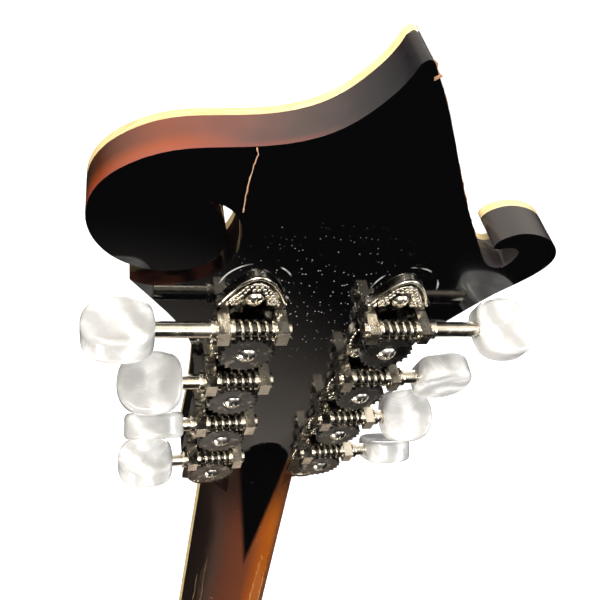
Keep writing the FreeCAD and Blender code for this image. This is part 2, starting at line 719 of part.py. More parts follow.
def make_tone_bars():
    """Two braces under the carved top, one beneath each foot of the bridge."""
    under = arched(TOP_ARCH, -1, 60)
    under.translate(V(0, PLATE_EDGE, 0))
    bars = []
    for sign in SIDES.values():
        bar = block((sign * 28 - 3, sign * 28 + 3), (-12, PLATE_EDGE + 6), (-455, -285))
        bars.append(on_body(bar.common(under)))
    return solids(bars)


def make_fingerboard_support():
    """The riser that holds the end of the fingerboard above the carved top."""
    blank = tapered_board(2.5, 0, 30, JOINT, BOARD_END - 1)
    below = on_body(arched(TOP_ARCH, -1, 60))
    edge = on_body(block((-140, 140), (0, 60), (-240, -150)))
    return solids([blank.cut(below).cut(edge)])


# ---------------------------------------------------------------- end pin and tailpiece
END_PIN_SHANK = 3.4
END_PIN_FLANGE = 7.5
END_PIN_WAIST = 4.4
END_PIN_HEAD = 6.0            # radius of the head that holds a strap
TAIL = -BODY_END


def make_end_pin():
    """A strap pin pressed into the tail block: flange, waist and round head."""
    def disc(radius, near, far):
        return rod(radius, V(0, BODY_DEPTH / 2, TAIL - near), V(0, BODY_DEPTH / 2, TAIL - far))
    head = disc(END_PIN_HEAD, 7, 14)
    rim = [edge for edge in head.Edges if abs(edge.CenterOfMass.z - TAIL + 14) < 0.1]
    head = head.makeFillet(2.0, rim)
    return on_body(head.fuse([disc(END_PIN_SHANK, -24, 0), disc(END_PIN_FLANGE, 0, 2), disc(END_PIN_WAIST, 2, 7)]))


PIECE_HALF = 21.0             # half of the tailpiece's width
PIECE_LENGTH = 32.0
PIECE_GAP = 4.2               # from the body's edge to the tailpiece's sheet
SHEET = 1.2


def make_tailpiece_base():
    """A bent steel plate: a face on the tail rib, and a hooked tongue above the top."""
    top = -PIECE_GAP
    tongue = block((-PIECE_HALF, PIECE_HALF), (top - SHEET, top), (TAIL - SHEET, TAIL + PIECE_LENGTH))
    drop = block((-PIECE_HALF, PIECE_HALF), (top - SHEET, 28), (TAIL - SHEET, TAIL))
    hole = rod(END_PIN_FLANGE + 0.1, V(0, BODY_DEPTH / 2, TAIL - 5), V(0, BODY_DEPTH / 2, TAIL + 5))
    plate = tongue.fuse(drop).cut(hole)
    for *_, saddle_x in course_strings():
        x = 0.75 * saddle_x
        hook = block((x - 0.8, x + 0.8), (top - SHEET - 2.4, top - SHEET), (TAIL + 12, TAIL + 13.4))
        plate = plate.fuse(hook)
    for x in (-14, 14):
        plate = plate.cut(rod(1.6, V(x, 10, TAIL - 5), V(x, 10, TAIL + 5)))
    return on_body(plate)


def make_tailpiece_screws():
    made = []
    for x in (-14, 14):
        ball = Part.makeSphere(3.4, V(x, 10, TAIL - SHEET + 1.8))
        head = ball.common(block((x - 4, x + 4), (5, 15), (TAIL - SHEET - 3, TAIL - SHEET)))
        shank = rod(1.6, V(x, 10, TAIL - SHEET), V(x, 10, TAIL))
        made.append(on_body(head.fuse(shank)))
    return solids(made)


COVER_RISE = 8.6              # inside height of the cover above the tongue
COVER_SIDE = 30.0
COVER_LENGTH = 46.0


def make_tailpiece_cover():
    """A pressed cover that slides over the tongue, open at the tail and along the strings."""
    inside = PIECE_HALF + 0.4
    half = inside + 1
    start = TAIL - 2
    shoulder = TAIL + COVER_SIDE
    right = [(half, shoulder), (15, shoulder + 7), (7, TAIL + COVER_LENGTH - 2), (0, TAIL + COVER_LENGTH)]
    face = outline_face([line((-half, start), (half, start)), line((half, start), (half, shoulder)),
                         spline(right), spline([(-x, z) for x, z in right]),
                         line((-half, shoulder), (-half, start))])
    front = -PIECE_GAP - SHEET - COVER_RISE
    lid = slab(face, front - 1, front)
    walls = [block(sorted((sign * inside, sign * half)), (front, -PIECE_GAP + 0.4), (start, shoulder - 4))
             for sign in SIDES.values()]
    return on_body(lid.fuse(walls))


# ---------------------------------------------------------------- bridge
LEAN = math.radians(BODY_TILT)
STRING_AT_SADDLE = -9.0       # row y of the strings' undersides at the saddle
SADDLE_Y = (STRING_AT_SADDLE - RIM_DROP) * math.cos(LEAN) + (JOINT - BRIDGE_AT) * math.sin(LEAN)
BRIDGE_Z = -JOINT - (STRING_AT_SADDLE - RIM_DROP) * math.sin(LEAN) + (JOINT - BRIDGE_AT) * math.cos(LEAN)
BASE_HALF = 58.0
BASE_HEIGHT = 5.8              # leaves room under the thumbwheels for the saddle's lowest place
BASE_WIDTH = 11.0
BASE_TOP = -arch_rise(TOP_ARCH, 0, BRIDGE_Z) - BASE_HEIGHT
STUD_X = 29.0
STUD_RADIUS = 1.95
WHEEL_RADIUS = 5.5
WHEEL_THICKNESS = 2.8
SADDLE_HALF = 38.0
SADDLE_WIDTH = 6.0
SADDLE_HEIGHT = 6.6
SADDLE_BOTTOM = SADDLE_Y + SADDLE_HEIGHT
STUD_END = SADDLE_BOTTOM - 3.0
WHEEL_FRONT = SADDLE_BOTTOM + 0.3


def bridge_slice(points, width):
    """A plate across the strings, from its outline seen along the neck."""
    front = Part.BSplineCurve()
    front.interpolate([V(x, y, 0) for x, y in points[1:-1]])
    corners = [V(points[0][0], points[0][1], 0), V(points[1][0], points[1][1], 0),
               V(points[-2][0], points[-2][1], 0), V(points[-1][0], points[-1][1], 0)]
    edges = [front.toShape(), Part.makeLine(corners[0], corners[1]),
             Part.makeLine(corners[2], corners[3]), Part.makeLine(corners[3], corners[0])]
    plate = Part.Face(Part.Wire(Part.__sortEdges__(edges))).extrude(V(0, 0, width))
    plate.translate(V(0, 0, BRIDGE_Z - width / 2))
    return plate


def stud(sign, radius, near, far):
    """A cylinder on a stud's axis."""
    return rod(radius, V(sign * STUD_X, near, BRIDGE_Z), V(sign * STUD_X, far, BRIDGE_Z))


def make_bridge_base():
    """The foot of the bridge, fitted to the arch, with a relieved middle."""
    right = [(20, BASE_TOP), (36, BASE_TOP + 0.1), (44, BASE_TOP + 2.6), (BASE_HALF, BASE_TOP + BASE_HEIGHT)]
    left = [(-x, y) for x, y in reversed(right)]
    outline = [(-BASE_HALF, 5)] + left + [(0, BASE_TOP)] + right + [(BASE_HALF, 5)]
    base = bridge_slice(outline, BASE_WIDTH).cut(arched(TOP_ARCH, -1, 40))
    relief = block((-16, 16), (BASE_TOP + BASE_HEIGHT - 2.2, 20), (BRIDGE_Z - 9, BRIDGE_Z + 9))
    studs = [stud(sign, STUD_RADIUS, BASE_TOP + 4, BASE_TOP - 1) for sign in SIDES.values()]
    return on_body(solids([base.cut(relief).cut(studs[0]).cut(studs[1])]))


def make_bridge_studs():
    """Two threaded studs that stand in the base."""
    return on_body(solids([stud(sign, STUD_RADIUS, BASE_TOP + 4, STUD_END) for sign in SIDES.values()]))


def make_thumbwheel(sign):
    """A knurled brass wheel on a stud, under the saddle."""
    back = WHEEL_FRONT + WHEEL_THICKNESS
    wheel = stud(sign, WHEEL_RADIUS, back, WHEEL_FRONT)
    for k in range(20):
        angle = math.radians(18 * k)
        x = sign * STUD_X + WHEEL_RADIUS * math.cos(angle)
        z = BRIDGE_Z + WHEEL_RADIUS * math.sin(angle)
        wheel = wheel.cut(rod(0.4, V(x, back + 1, z), V(x, WHEEL_FRONT - 1, z)))
    return on_body(wheel.cut(stud(sign, STUD_RADIUS + RUNNING_GAP, back + 1, WHEEL_FRONT - 1)))


def make_bridge_saddle():
    """The upper half of the bridge, with a groove for every string."""
    crest = SADDLE_Y - 0.25
    right = [(24.5, crest + 0.2), (32, SADDLE_BOTTOM - 5.4), (SADDLE_HALF, SADDLE_BOTTOM - 3.2)]
    left = [(-x, y) for x, y in reversed(right)]
    outline = [(-SADDLE_HALF, SADDLE_BOTTOM)] + left + [(0, crest)] + right + [(SADDLE_HALF, SADDLE_BOTTOM)]
    saddle = bridge_slice(outline, SADDLE_WIDTH)
    for sign in SIDES.values():
        saddle = saddle.cut(stud(sign, STUD_RADIUS + RUNNING_GAP, SADDLE_BOTTOM + 1, STUD_END - 1.4))
    return on_body(saddle).cut(string_clearance())


# ---------------------------------------------------------------- strings
COURSE_POSTS = ((3, 2), (1, 0), (0, 1), (2, 3))      # each string's post, counted from the tip
WRAP_TURNS = 3


def body_point(x, y, z):
    """A point of the flat body, in the row frame."""
    return on_body(Part.Vertex(V(x, y, z))).Point


def wrap_place(course, string, radius):
    """The middle of a string's winding, and its radius, in the flat headstock."""
    sign = SIDES["bass"] if course < 2 else SIDES["treble"]
    z = FIRST_WORM - WORM_TO_POST - TUNER_PITCH * COURSE_POSTS[course][string]
    return V(sign * ROW_OFFSET, WRAP_Y, z), WAIST_RADIUS + 0.25 + radius


def string_shape(course, string, nut_x, bridge_x, radius):
    """One string from its hook over the saddle and nut to its post."""
    middle, reach = wrap_place(course, string, STRING_RADII[course])
    inward = -1 if middle.x > 0 else 1
    points = [body_point(bridge_x * 0.75, -PIECE_GAP - SHEET - 0.7, TAIL + 14.2),
              body_point(bridge_x, SADDLE_Y - STRING_RADII[course], BRIDGE_Z),
              V(nut_x, NUT_TOP - 0.05, NUT_LENGTH / 2),
              on_headstock(Part.Vertex(middle + V(inward * reach, 0, 0))).Point]
    runs = [rod(radius, a, b) for a, b in zip(points, points[1:])]
    bends = [Part.makeSphere(radius, p) for p in points[1:3]]
    return runs[0].fuse(runs[1:] + bends)


def string_clearance():
    """Every string's route a hair thicker, to cut the grooves it lies in."""
    cutters = [string_shape(course, string, nut_x, bridge_x, STRING_RADII[course] + 0.02)
               for course, string, nut_x, bridge_x in course_strings()]
    return Part.makeCompound(cutters)


def make_strings(courses):
    """The strings of some courses, each ending in rings round its post."""
    made = []
    for course, string, nut_x, bridge_x in course_strings():
        if course not in courses:
            continue
        radius = STRING_RADII[course]
        middle, reach = wrap_place(course, string, radius)
        shape = string_shape(course, string, nut_x, bridge_x, radius)
        for turn in range(WRAP_TURNS):
            at = middle + V(0, (turn - (WRAP_TURNS - 1) / 2) * radius * 1.8, 0)
            shape = shape.fuse(on_headstock(Part.makeTorus(reach, radius, at, ALONG_Y)))
        made.append(shape)
    return solids(made)


# ---------------------------------------------------------------- all the pieces
def build():
    os.makedirs("parts", exist_ok=True)
    makers = {
        "neck": make_neck, "headstock_overlay": make_overlay, "headstock_binding": make_headstock_binding,
        "truss_rod_cover": make_truss_rod_cover,
        "truss_rod_cover_screw": make_cover_screw, "truss_rod": make_truss_rod,
        "truss_rod_nut": make_truss_rod_nut, "plate_screws": make_plate_screws,
        "post_ferrules": make_post_ferrules, "fingerboard": make_fingerboard,
        "fingerboard_binding": make_fingerboard_binding, "frets": make_frets,
        "position_markers": make_position_markers, "nut": make_nut, "top_plate": make_top_plate,
        "back_plate": make_back_plate, "body_binding": make_body_binding, "ribs": make_ribs,
        "linings": make_linings, "head_block": make_head_block, "tail_block": make_tail_block,
        "tone_bars": make_tone_bars, "fingerboard_support": make_fingerboard_support,
        "end_pin": make_end_pin, "tailpiece_base": make_tailpiece_base,
        "tailpiece_screws": make_tailpiece_screws, "tailpiece_cover": make_tailpiece_cover,
        "bridge_base": make_bridge_base, "bridge_studs": make_bridge_studs,
        "bridge_saddle": make_bridge_saddle,
    }
    for name, maker in makers.items():
        save(name, maker())
    for side, sign in SIDES.items():
        save("tuner_plate_" + side, make_plate(sign))
        save("thumbwheel_" + side, make_thumbwheel(sign))
        for number in range(4):
            label = side + "_" + str(number + 1)
            turn = BUTTON_TURNS[side][number]
            save("worm_shaft_" + label, place_key(make_worm_shaft(number), side, number, 0))
            save("button_" + label, place_key(make_button(number), side, number, turn))
            z = FIRST_WORM - WORM_TO_POST - TUNER_PITCH * number
            save("string_post_" + label, make_string_post(sign * ROW_OFFSET, z))
    save("strings_wound", make_strings((0, 1)))
    save("strings_plain", make_strings((2, 3)))


build()
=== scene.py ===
import json
import math
import random

import bmesh
import bpy
from mathutils import Matrix, Vector


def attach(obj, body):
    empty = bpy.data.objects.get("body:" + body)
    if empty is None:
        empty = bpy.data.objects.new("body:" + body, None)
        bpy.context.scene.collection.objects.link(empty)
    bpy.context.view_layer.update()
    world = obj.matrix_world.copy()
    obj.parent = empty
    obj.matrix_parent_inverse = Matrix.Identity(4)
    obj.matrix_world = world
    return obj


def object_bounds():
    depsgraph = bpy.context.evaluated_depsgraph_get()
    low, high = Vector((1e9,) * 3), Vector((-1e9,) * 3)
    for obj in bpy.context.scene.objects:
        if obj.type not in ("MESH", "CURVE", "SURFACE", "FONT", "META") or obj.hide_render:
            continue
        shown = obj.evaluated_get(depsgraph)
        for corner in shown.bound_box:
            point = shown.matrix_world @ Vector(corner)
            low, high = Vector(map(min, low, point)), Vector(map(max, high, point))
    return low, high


# A mandolin seen from behind its headstock. Metres, in the row frame: +Z up the neck, strings towards -Y.

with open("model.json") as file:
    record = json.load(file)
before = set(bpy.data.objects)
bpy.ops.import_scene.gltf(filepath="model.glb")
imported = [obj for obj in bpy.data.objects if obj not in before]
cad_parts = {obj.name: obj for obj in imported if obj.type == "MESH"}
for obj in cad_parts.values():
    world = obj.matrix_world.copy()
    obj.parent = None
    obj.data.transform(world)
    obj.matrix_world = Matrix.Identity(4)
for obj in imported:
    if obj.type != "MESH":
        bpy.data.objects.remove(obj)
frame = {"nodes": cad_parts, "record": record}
CAD_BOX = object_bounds()
NODES = frame["nodes"]
SIDES = {"bass": -1, "treble": 1}
MM = 0.001
dice = random.Random(4)

# ---------------------------------------------------------------- places on the flat headstock
HEAD_TILT = math.radians(15)
TO_HEAD = Matrix.Rotation(-HEAD_TILT, 4, "X")
HEAD_BACK = 9.4               # mm from the headstock's wooden face to its back
FIRST_WORM = 102.0            # mm from the nut to the first tuner shaft
TUNER_PITCH = 23.02
WORM_TO_POST = 8.9
ROW_OFFSET = 18.6
PLATE_TOP = HEAD_BACK + 1.2
WORM_LEVEL = HEAD_BACK + 5.5   # the axis of a worm
WORM_REACH = 5.2               # half the length of a worm's thread


def head(x, y, z):
    """A point of the flat headstock, given in millimetres, in the row frame."""
    return TO_HEAD @ Vector((x * MM, y * MM, z * MM))


BACKWARD = TO_HEAD @ Vector((0, 1, 0))       # out of the headstock's back
TIPWARD = TO_HEAD @ Vector((0, 0, 1))        # along the headstock


# ---------------------------------------------------------------- shader helpers
class Paint:
    """A Principled material and short ways to add nodes to it."""

    def __init__(self, name, **sockets):
        self.material = bpy.data.materials.new(name)
        self.material.use_nodes = True
        self.tree = self.material.node_tree
        self.bsdf = self.tree.nodes["Principled BSDF"]
        for key, value in sockets.items():
            self.bsdf.inputs[key.replace("_", " ")].default_value = value
        self.coords = self.add("ShaderNodeTexCoord").outputs["Object"]

    def add(self, kind, **settings):
        node = self.tree.nodes.new(kind)
        for key, value in settings.items():
            setattr(node, key, value)
        return node

    def feed(self, socket, value):
        if isinstance(value, bpy.types.NodeSocket):
            self.tree.links.new(value, socket)
        else:
            socket.default_value = value

    def stretched(self, x, y, z):
        """Coordinates scaled differently along each axis."""
        node = self.add("ShaderNodeMapping")
        self.feed(node.inputs["Vector"], self.coords)
        node.inputs["Scale"].default_value = (x, y, z)
        return node.outputs["Vector"]

    def noise(self, scale, detail=4.0, coords=None, distortion=0.0):
        node = self.add("ShaderNodeTexNoise")
        self.feed(node.inputs["Vector"], coords or self.coords)
        node.inputs["Scale"].default_value = scale
        node.inputs["Detail"].default_value = detail
        node.inputs["Distortion"].default_value = distortion
        return node.outputs["Fac"]

    def cells(self, scale, coords=None, output="Distance"):
        node = self.add("ShaderNodeTexVoronoi")
        self.feed(node.inputs["Vector"], coords or self.coords)
        node.inputs["Scale"].default_value = scale
        return node.outputs[output]

    def span(self, value, low, high, to_low=0.0, to_high=1.0, smooth=True):
        """The value remapped from one range to another, and clamped."""
        node = self.add("ShaderNodeMapRange")
        node.interpolation_type = "SMOOTHSTEP" if smooth else "LINEAR"
        for key, number in zip(("Value", "From Min", "From Max", "To Min", "To Max"),
                               (value, low, high, to_low, to_high)):
            self.feed(node.inputs[key], number)
        return node.outputs["Result"]

    def calc(self, operation, a, b=0.0):
        node = self.add("ShaderNodeMath", operation=operation)
        self.feed(node.inputs[0], a)
        self.feed(node.inputs[1], b)
        return node.outputs["Value"]

    def dot(self, vector, direction):
        node = self.add("ShaderNodeVectorMath", operation="DOT_PRODUCT")
        self.feed(node.inputs[0], vector)
        node.inputs[1].default_value = direction
        return node.outputs["Value"]

    def mix(self, factor, a, b):
        node = self.add("ShaderNodeMix", data_type="RGBA")
        self.feed(node.inputs["Factor"], factor)
        self.feed(node.inputs[6], a)
        self.feed(node.inputs[7], b)
        return node.outputs[2]

    def ramp(self, value, *stops):
        node = self.add("ShaderNodeValToRGB")
        self.feed(node.inputs["Fac"], value)
        ramp = node.color_ramp
        while len(ramp.elements) < len(stops):
            ramp.elements.new(0.5)
        for element, (place, colour) in zip(ramp.elements, stops):
            element.position = place
            element.color = colour
        return node.outputs["Color"]

    def bump(self, height, strength, distance):
        node = self.add("ShaderNodeBump")
        self.feed(node.inputs["Height"], height)
        node.inputs["Strength"].default_value = strength
        node.inputs["Distance"].default_value = distance
        self.feed(self.bsdf.inputs["Normal"], node.outputs["Normal"])

    def colour(self, value):
        self.feed(self.bsdf.inputs["Base Color"], value)

    def rough(self, value):
        self.feed(self.bsdf.inputs["Roughness"], value)


def rgb(r, g, b):
    return (r, g, b, 1.0)


# ---------------------------------------------------------------- materials
def dust(paint, scale, radius, share):
    """A mask of tiny specks, only in a share of the cells."""
    near = paint.span(paint.cells(scale), radius, radius * 0.5)
    chosen = paint.calc("LESS_THAN", paint.cells(scale, output="Color"), share)
    return paint.calc("MULTIPLY", near, chosen)


BLACK = rgb(0.0012, 0.0012, 0.0015)


def ring_mask(p, x, along):
    """Faint arcs pressed into the lacquer round the tip of each tuner strip."""
    across = p.calc("SUBTRACT", p.calc("ABSOLUTE", x), ROW_OFFSET)
    up = p.calc("SUBTRACT", along, FIRST_WORM + 8.5)
    radius = p.calc("SQRT", p.calc("ADD", p.calc("MULTIPLY", across, across), p.calc("MULTIPLY", up, up)))
    off = p.calc("ABSOLUTE", p.calc("SUBTRACT", radius, 8.9))
    broken = p.span(p.noise(160, 3), 0.42, 0.6)
    return p.calc("MULTIPLY", p.calc("MULTIPLY", p.span(off, 0.28, 0.08), p.span(up, 0.5, 3.0)), broken)


def wall_colours(p, x, along, depth, grain):
    """The side walls: red-brown round the large scroll and black at the tip, with near-black painted shade
    inside the slots and a painted dark-grey sheen on the horn's black wall.
    """
    wander = p.span(p.noise(60, 3), 0.3, 0.7, -3.0, 3.0)
    place = p.span(p.calc("ADD", x, wander), -4.0, 58.0, smooth=False)
    wall = p.ramp(place, (0.0, rgb(0.004, 0.004, 0.006)), (0.2, rgb(0.012, 0.011, 0.014)),
                  (0.36, rgb(0.060, 0.038, 0.036)), (0.52, rgb(0.150, 0.048, 0.036)),
                  (0.72, rgb(0.165, 0.036, 0.015)),
                  (0.88, rgb(0.060, 0.020, 0.010)), (1.0, rgb(0.022, 0.014, 0.012)))
    near_back = p.calc("MULTIPLY", p.span(depth, 3.5, 9.4), p.span(x, 27.0, 40.0))
    wall = p.mix(p.calc("MULTIPLY", near_back, 0.7), wall, rgb(0.36, 0.062, 0.010))
    red_line = p.calc("MULTIPLY", p.span(depth, 7.4, 9.0), p.span(x, 8.0, 20.0))
    wall = p.mix(p.calc("MULTIPLY", red_line, 0.5), wall, rgb(0.22, 0.05, 0.04))
    streak = p.span(grain, 0.4, 0.7)
    wall = p.mix(p.calc("MULTIPLY", streak, 0.35), wall, rgb(0.03, 0.010, 0.006))
    # Painted shade: the walls inside the slots are made near-black, with a faint brown mottle.
    slot_x = p.calc("MULTIPLY", p.span(x, 62.0, 59.0), p.span(x, 22.0, 24.0))
    slot = p.calc("MULTIPLY", slot_x, p.span(p.calc("ADD", along, p.calc("MULTIPLY", x, -0.12)), 134.5, 132.0))
    outer = p.span(x, 50.0, 53.5)
    mottle = p.span(p.noise(90, 5, distortion=1.0), 0.45, 0.62)
    inside = p.mix(mottle, rgb(0.004, 0.003, 0.003), rgb(0.030, 0.010, 0.007))
    wall = p.mix(p.calc("MULTIPLY", slot, p.calc("SUBTRACT", 1.0, outer)), wall, inside)
    # Painted sheen: the horn's black lacquered wall is made dark grey.
    horn = p.span(x, -30.0, -34.0)
    wall = p.mix(horn, wall, rgb(0.040, 0.034, 0.034))
    return p.mix(p.span(along, 96.0, 106.0), BLACK, wall)


def neck_colours(p, x, along, grain):
    """The neck's sunburst, seen from behind: black and brown on the treble side, orange on the bass side."""
    side = p.calc("ADD", x, p.span(p.noise(25, 3), 0.3, 0.7, -1.2, 1.2))
    burst = p.ramp(p.span(side, -17.0, 17.0, smooth=False),
                   (0.0, rgb(0.24, 0.085, 0.050)), (0.10, rgb(0.30, 0.085, 0.022)),
                   (0.22, rgb(0.36, 0.090, 0.006)),
                   (0.33, rgb(0.24, 0.055, 0.008)), (0.46, rgb(0.105, 0.030, 0.013)),
                   (0.70, rgb(0.075, 0.024, 0.013)), (0.84, rgb(0.040, 0.024, 0.018)),
                   (0.93, rgb(0.009, 0.006, 0.005)))
    burst = p.mix(p.calc("MULTIPLY", p.span(grain, 0.35, 0.7), 0.35), burst, rgb(0.04, 0.013, 0.007))
    upper = p.calc("MULTIPLY", p.span(along, -22.0, 8.0), 0.85)
    burst = p.mix(upper, burst, rgb(0.016, 0.009, 0.007))
    wedge = p.calc("ADD", p.calc("ABSOLUTE", p.calc("ADD", x, 1.0)), p.calc("MULTIPLY", along, -0.16))
    burst = p.mix(p.span(wedge, 7.0, 4.8), burst, BLACK)
    worn_x = p.calc("SUBTRACT", x, 8.5)
    worn_z = p.calc("MULTIPLY", p.calc("ADD", along, 74.0), 0.35)
    worn = p.calc("SQRT", p.calc("ADD", p.calc("MULTIPLY", worn_x, worn_x), p.calc("MULTIPLY", worn_z, worn_z)))
    worn = p.calc("ADD", worn, p.span(p.noise(120, 5), 0.3, 0.7, -2.0, 2.0))
    return p.mix(p.span(worn, 2.6, 1.4), burst, rgb(0.36, 0.19, 0.09))


def headstock_lacquer():
    """Black lacquer on the back with patches of painted brown reflection low down, a red-brown sunburst on the
    edges and down the neck, specks and scratches.
    """
    p = Paint("neck_lacquer", Roughness=0.08, Coat_Weight=0.25, Coat_Roughness=0.03, Specular_IOR_Level=0.4)
    x = p.dot(p.coords, (1000.0, 0, 0))
    along = p.dot(p.coords, TIPWARD * 1000)
    depth = p.dot(p.coords, BACKWARD * 1000)
    normal = p.add("ShaderNodeTexCoord").outputs["Normal"]
    grain = p.noise(40, 6, p.stretched(1.0, 1.0, 0.08))

    # Painted reflection: from the second tuner down, the black lacquer turns brown in patches, standing in for
    # the body's back mirrored in it.
    black = p.mix(p.calc("MULTIPLY", p.span(p.noise(14, 3), 0.45, 0.65), p.span(along, 88.0, 60.0)),
                  BLACK, rgb(0.016, 0.012, 0.010))
    on_back = p.span(p.dot(normal, BACKWARD), 0.55, 0.75)
    headstock = p.mix(on_back, wall_colours(p, x, along, depth, grain), black)
    colour = p.mix(p.span(along, 16.0, 26.0), neck_colours(p, x, along, grain), headstock)

    far_x = p.calc("SUBTRACT", x, 3.0)
    far_z = p.calc("SUBTRACT", along, 106.0)
    far = p.calc("SQRT", p.calc("ADD", p.calc("MULTIPLY", far_x, far_x), p.calc("MULTIPLY", far_z, far_z)))
    fine = p.calc("MULTIPLY", dust(p, 1000, 0.20, 0.5), p.span(far, 30.0, 8.0))
    sparse = p.calc("MULTIPLY", dust(p, 420, 0.09, 0.10), p.span(p.noise(28, 2), 0.45, 0.6))
    specks = p.calc("MAXIMUM", fine, sparse)
    specks = p.calc("MAXIMUM", specks, p.calc("MULTIPLY", ring_mask(p, x, along), on_back))
    p.colour(p.mix(specks, colour, rgb(0.42, 0.42, 0.40)))
    haze = p.span(p.noise(18, 5, distortion=1.5), 0.4, 0.75, 0.05, 0.14)
    p.rough(p.calc("ADD", haze, p.calc("MULTIPLY", specks, 0.5)))
    scratch = p.noise(900, 2, p.stretched(1.0, 0.03, 0.05))
    ripple = p.calc("ADD", p.calc("MULTIPLY", p.noise(22, 2), 0.5), p.calc("MULTIPLY", scratch, 0.012))
    p.bump(p.calc("ADD", ripple, specks), 0.3, 0.0002)
    return p.material


def gloss_black(name):
    """Plain black lacquer or plastic with fine scratches."""
    p = Paint(name, Coat_Weight=0.5, Coat_Roughness=0.04)
    specks = dust(p, 420, 0.12, 0.10)
    p.colour(p.mix(specks, rgb(0.006, 0.006, 0.007), rgb(0.35, 0.33, 0.3)))
    p.rough(p.span(p.noise(30, 5), 0.35, 0.7, 0.07, 0.2))
    p.bump(p.noise(600, 3, p.stretched(1, 0.1, 0.1)), 0.08, 0.0002)
    return p.material


def ivoroid():
    """Aged cream binding with faint grain lines."""
    p = Paint("cream_binding", Roughness=0.28, Coat_Weight=0.4, Coat_Roughness=0.1)
    lines = p.noise(260, 4, p.stretched(1.0, 8.0, 1.0))
    base = p.ramp(lines, (0.3, rgb(0.72, 0.50, 0.20)), (0.55, rgb(0.86, 0.68, 0.34)),
                  (0.75, rgb(0.93, 0.78, 0.45)))
    stain = p.span(p.noise(45, 4), 0.55, 0.75)
    p.colour(p.mix(p.calc("MULTIPLY", stain, 0.35), base, rgb(0.45, 0.24, 0.07)))
    p.bump(lines, 0.1, 0.0002)
    return p.material


def nickel(name, warm=1.0, wear=0.3, roughness=(0.14, 0.30), painted_dark=None):
    """Old nickel plate: warm, a little pitted, brown where it has worn, and black where a given mask paints
    darkness: shade at a worm's thread root, a dark reflection in a strip's low field.
    """
    p = Paint(name, Metallic=1.0)
    clean = rgb(0.80, 0.80 - 0.05 * warm, 0.80 - 0.15 * warm)
    patches = p.span(p.noise(330, 4, distortion=0.6), 0.56, 0.70)
    tarnish = p.mix(p.noise(500, 3), rgb(0.34, 0.23, 0.12), rgb(0.14, 0.115, 0.095))
    colour = p.mix(p.calc("MULTIPLY", patches, wear), clean, tarnish)
    pits = p.span(p.cells(1900), 0.22, 0.10)
    colour = p.mix(p.calc("MULTIPLY", pits, 0.4 * wear), colour, rgb(0.12, 0.09, 0.06))
    # Painted darkness from the given mask, standing in for shade and dark reflection.
    if painted_dark:
        colour = p.mix(painted_dark(p), colour, rgb(0.035, 0.031, 0.027))
    p.colour(colour)
    p.rough(p.span(p.noise(300, 4), 0.3, 0.7, *roughness))
    p.bump(p.noise(700, 3), 0.12, 0.00008)
    return p.material


def from_axis(p, first, level=None):
    """Distance in mm from an axis that repeats at each tuner: from a post, or from a worm at a level."""
    along = p.calc("SUBTRACT", p.dot(p.coords, TIPWARD * 1000), first)
    along = p.calc("PINGPONG", along, TUNER_PITCH / 2)
    if level is None:
        across = p.calc("SUBTRACT", p.calc("ABSOLUTE", p.dot(p.coords, (1000.0, 0, 0))), ROW_OFFSET)
    else:
        across = p.calc("SUBTRACT", p.dot(p.coords, BACKWARD * 1000), level)
    return p.calc("SQRT", p.calc("ADD", p.calc("MULTIPLY", along, along), p.calc("MULTIPLY", across, across)))


def painted_strip_reflection(p):
    """Painted dark reflection: black in the low field of a strip, which leaves what stands above it bright."""
    depth = p.dot(p.coords, BACKWARD * 1000)
    low = p.calc("MULTIPLY", p.span(depth, PLATE_TOP + 0.22, PLATE_TOP + 0.06),
                 p.span(depth, PLATE_TOP - 0.5, PLATE_TOP - 0.2))
    return p.calc("MULTIPLY", low, p.span(p.noise(260, 3), 0.30, 0.48))


def painted_worm_shade(p):
    """Painted shade: black at the root of a worm's thread."""
    off = p.calc("SUBTRACT", p.calc("ABSOLUTE", p.dot(p.coords, (1000.0, 0, 0))), ROW_OFFSET)
    threaded = p.calc("LESS_THAN", p.calc("ABSOLUTE", off), WORM_REACH)
    root = p.span(from_axis(p, FIRST_WORM, WORM_LEVEL), 2.15, 1.85)
    return p.calc("MULTIPLY", p.calc("MULTIPLY", threaded, root), 0.9)


def gear_metal():
    """Dark, burnished gear metal with bright rubbed spots, round a nickel post and screw."""
    p = Paint("gear_metal", Metallic=1.0)
    rub = p.span(p.noise(420, 5), 0.56, 0.66)
    dark = p.mix(rub, rgb(0.15, 0.15, 0.15), rgb(0.50, 0.48, 0.44))
    screw = p.span(from_axis(p, FIRST_WORM - WORM_TO_POST), 2.55, 2.4)
    p.colour(p.mix(screw, dark, rgb(0.74, 0.71, 0.66)))
    p.rough(p.span(p.noise(250, 4), 0.3, 0.7, 0.16, 0.38))
    p.bump(p.noise(1200, 3), 0.3, 0.0001)
    return p.material


def brass():
    p = Paint("brass", Metallic=1.0)
    patches = p.span(p.noise(180, 5), 0.45, 0.7)
    p.colour(p.mix(patches, rgb(0.62, 0.45, 0.18), rgb(0.33, 0.21, 0.08)))
    p.rough(p.span(p.noise(260, 4), 0.3, 0.7, 0.2, 0.42))
    p.bump(p.noise(1100, 3), 0.2, 0.0001)
    return p.material


